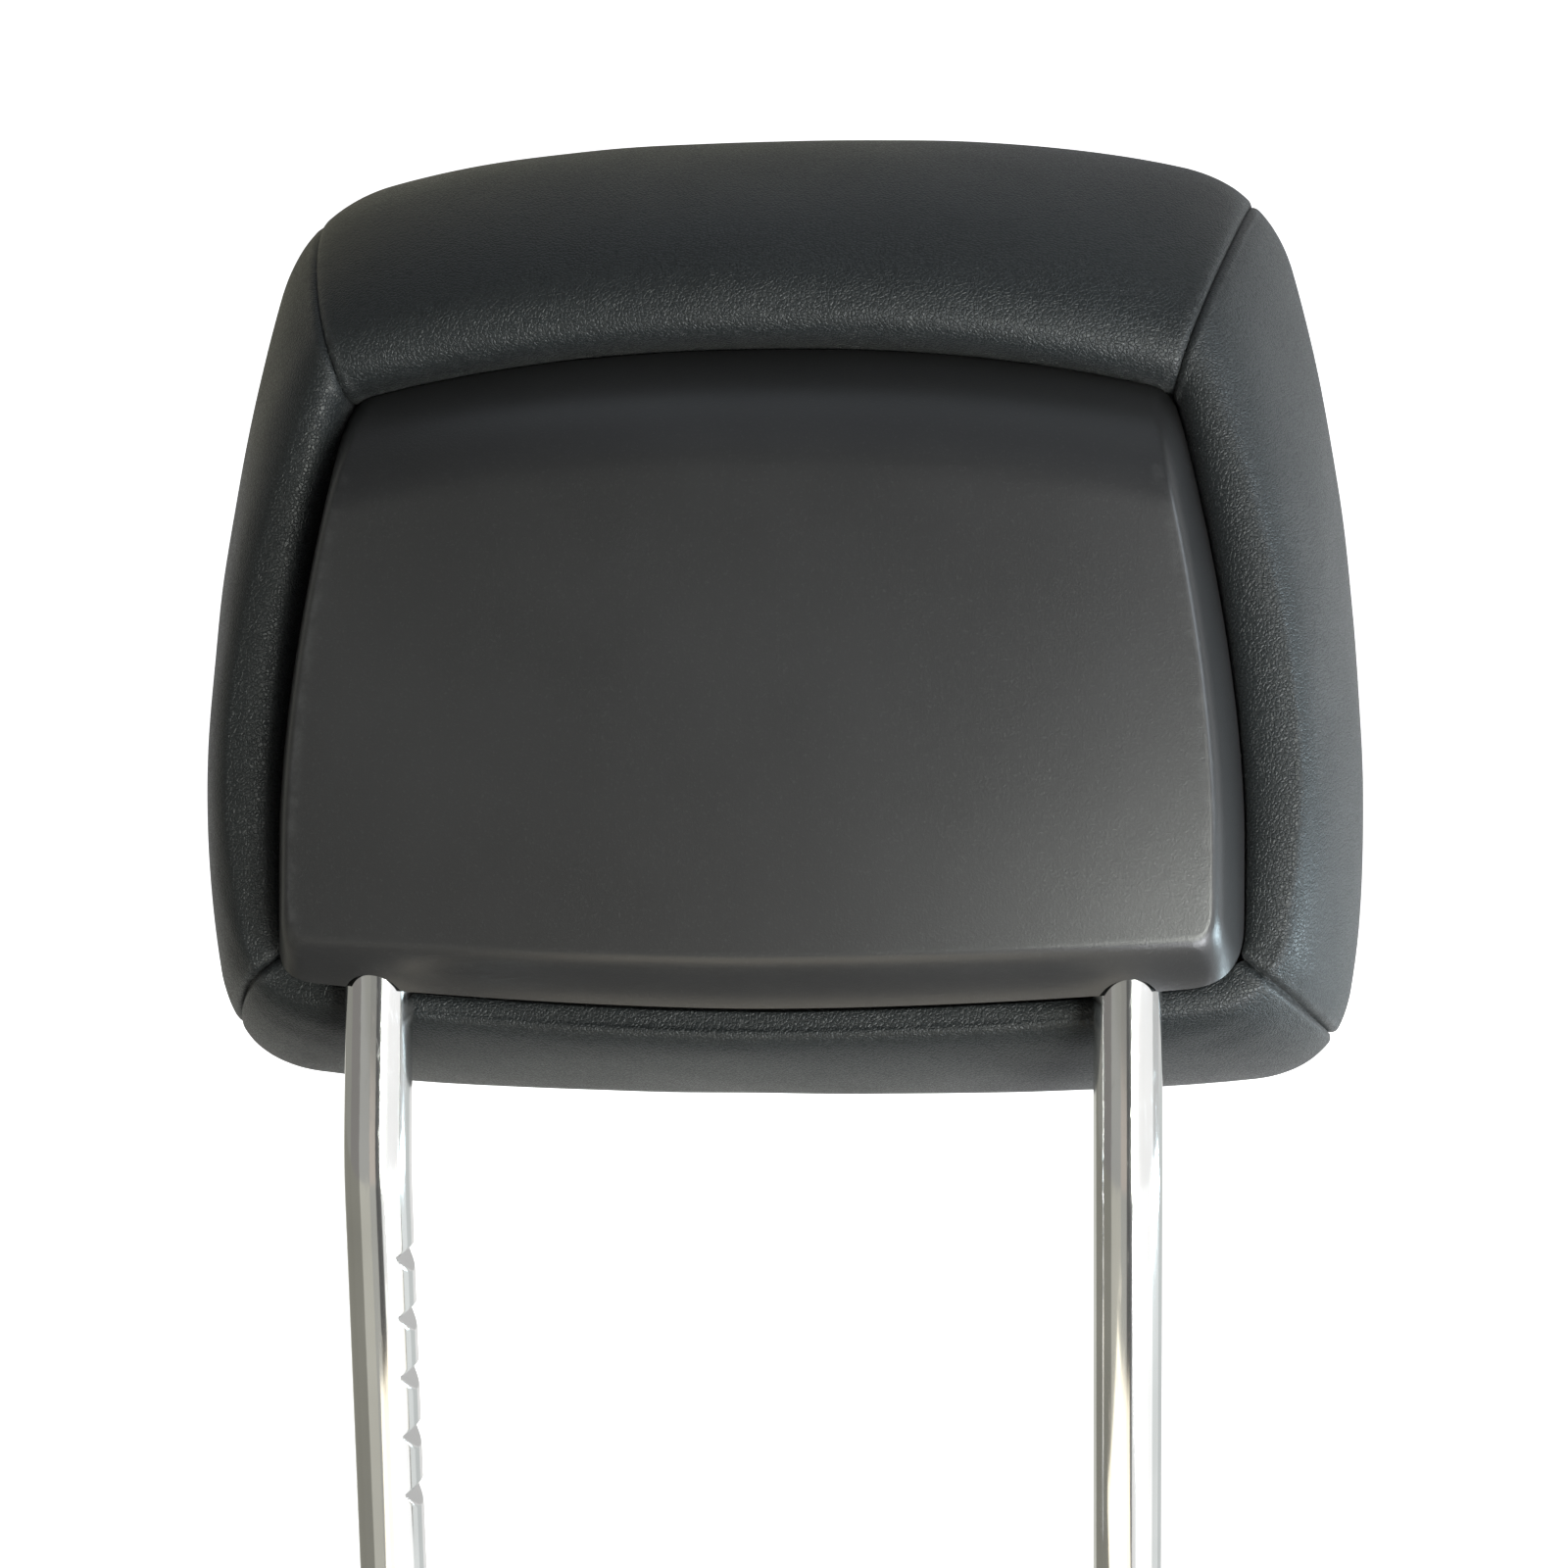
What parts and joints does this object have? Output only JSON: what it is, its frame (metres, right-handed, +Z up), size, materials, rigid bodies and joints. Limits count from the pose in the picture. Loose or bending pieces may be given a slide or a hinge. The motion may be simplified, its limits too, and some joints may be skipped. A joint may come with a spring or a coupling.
{
  "type": "car head restraint",
  "caption": "Leather-covered car head restraint with a moulded rear cover on a bent chromed two-legged post with height notches on one leg.",
  "frame": {"origin": "midway between the flat lower ends of the two legs", "axes": "+Z up along the lower legs, +Y forward to the occupant, +X to the right as seen from behind"},
  "size_m": [0.262, 0.1422, 0.3521],
  "materials": {
    "chrome": "bright chrome plating",
    "leather": "fine-grained black leather with a soft sheen",
    "cover_plastic": "satin, very fine grain",
    "carrier_plastic": "as moulded",
    "foam": "moulded foam skin",
    "strip_plastic": "extruded, unpainted",
    "zinc_steel": "zinc plated"
  },
  "bodies": {
    "root": {"post_stay": "chrome", "rear_cover": "cover_plastic", "foam_pad": "foam", "trim_front": "leather", "trim_top": "leather", "trim_right": "leather", "trim_bottom": "leather", "trim_left": "leather", "tuck_strip_top": "strip_plastic", "tuck_strip_right": "strip_plastic", "tuck_strip_bottom": "strip_plastic", "tuck_strip_left": "strip_plastic", "carrier": "carrier_plastic", "clamp_left": "zinc_steel", "clamp_screw_left_1": "zinc_steel", "clamp_screw_left_2": "zinc_steel", "clamp_right": "zinc_steel", "clamp_screw_right_1": "zinc_steel", "clamp_screw_right_2": "zinc_steel", "clamp_top": "zinc_steel", "clamp_screw_top_1": "zinc_steel", "clamp_screw_top_2": "zinc_steel", "cover_clip_1": "zinc_steel", "cover_clip_2": "zinc_steel", "cover_clip_3": "zinc_steel", "cover_clip_4": "zinc_steel"}
  },
  "joints": []
}
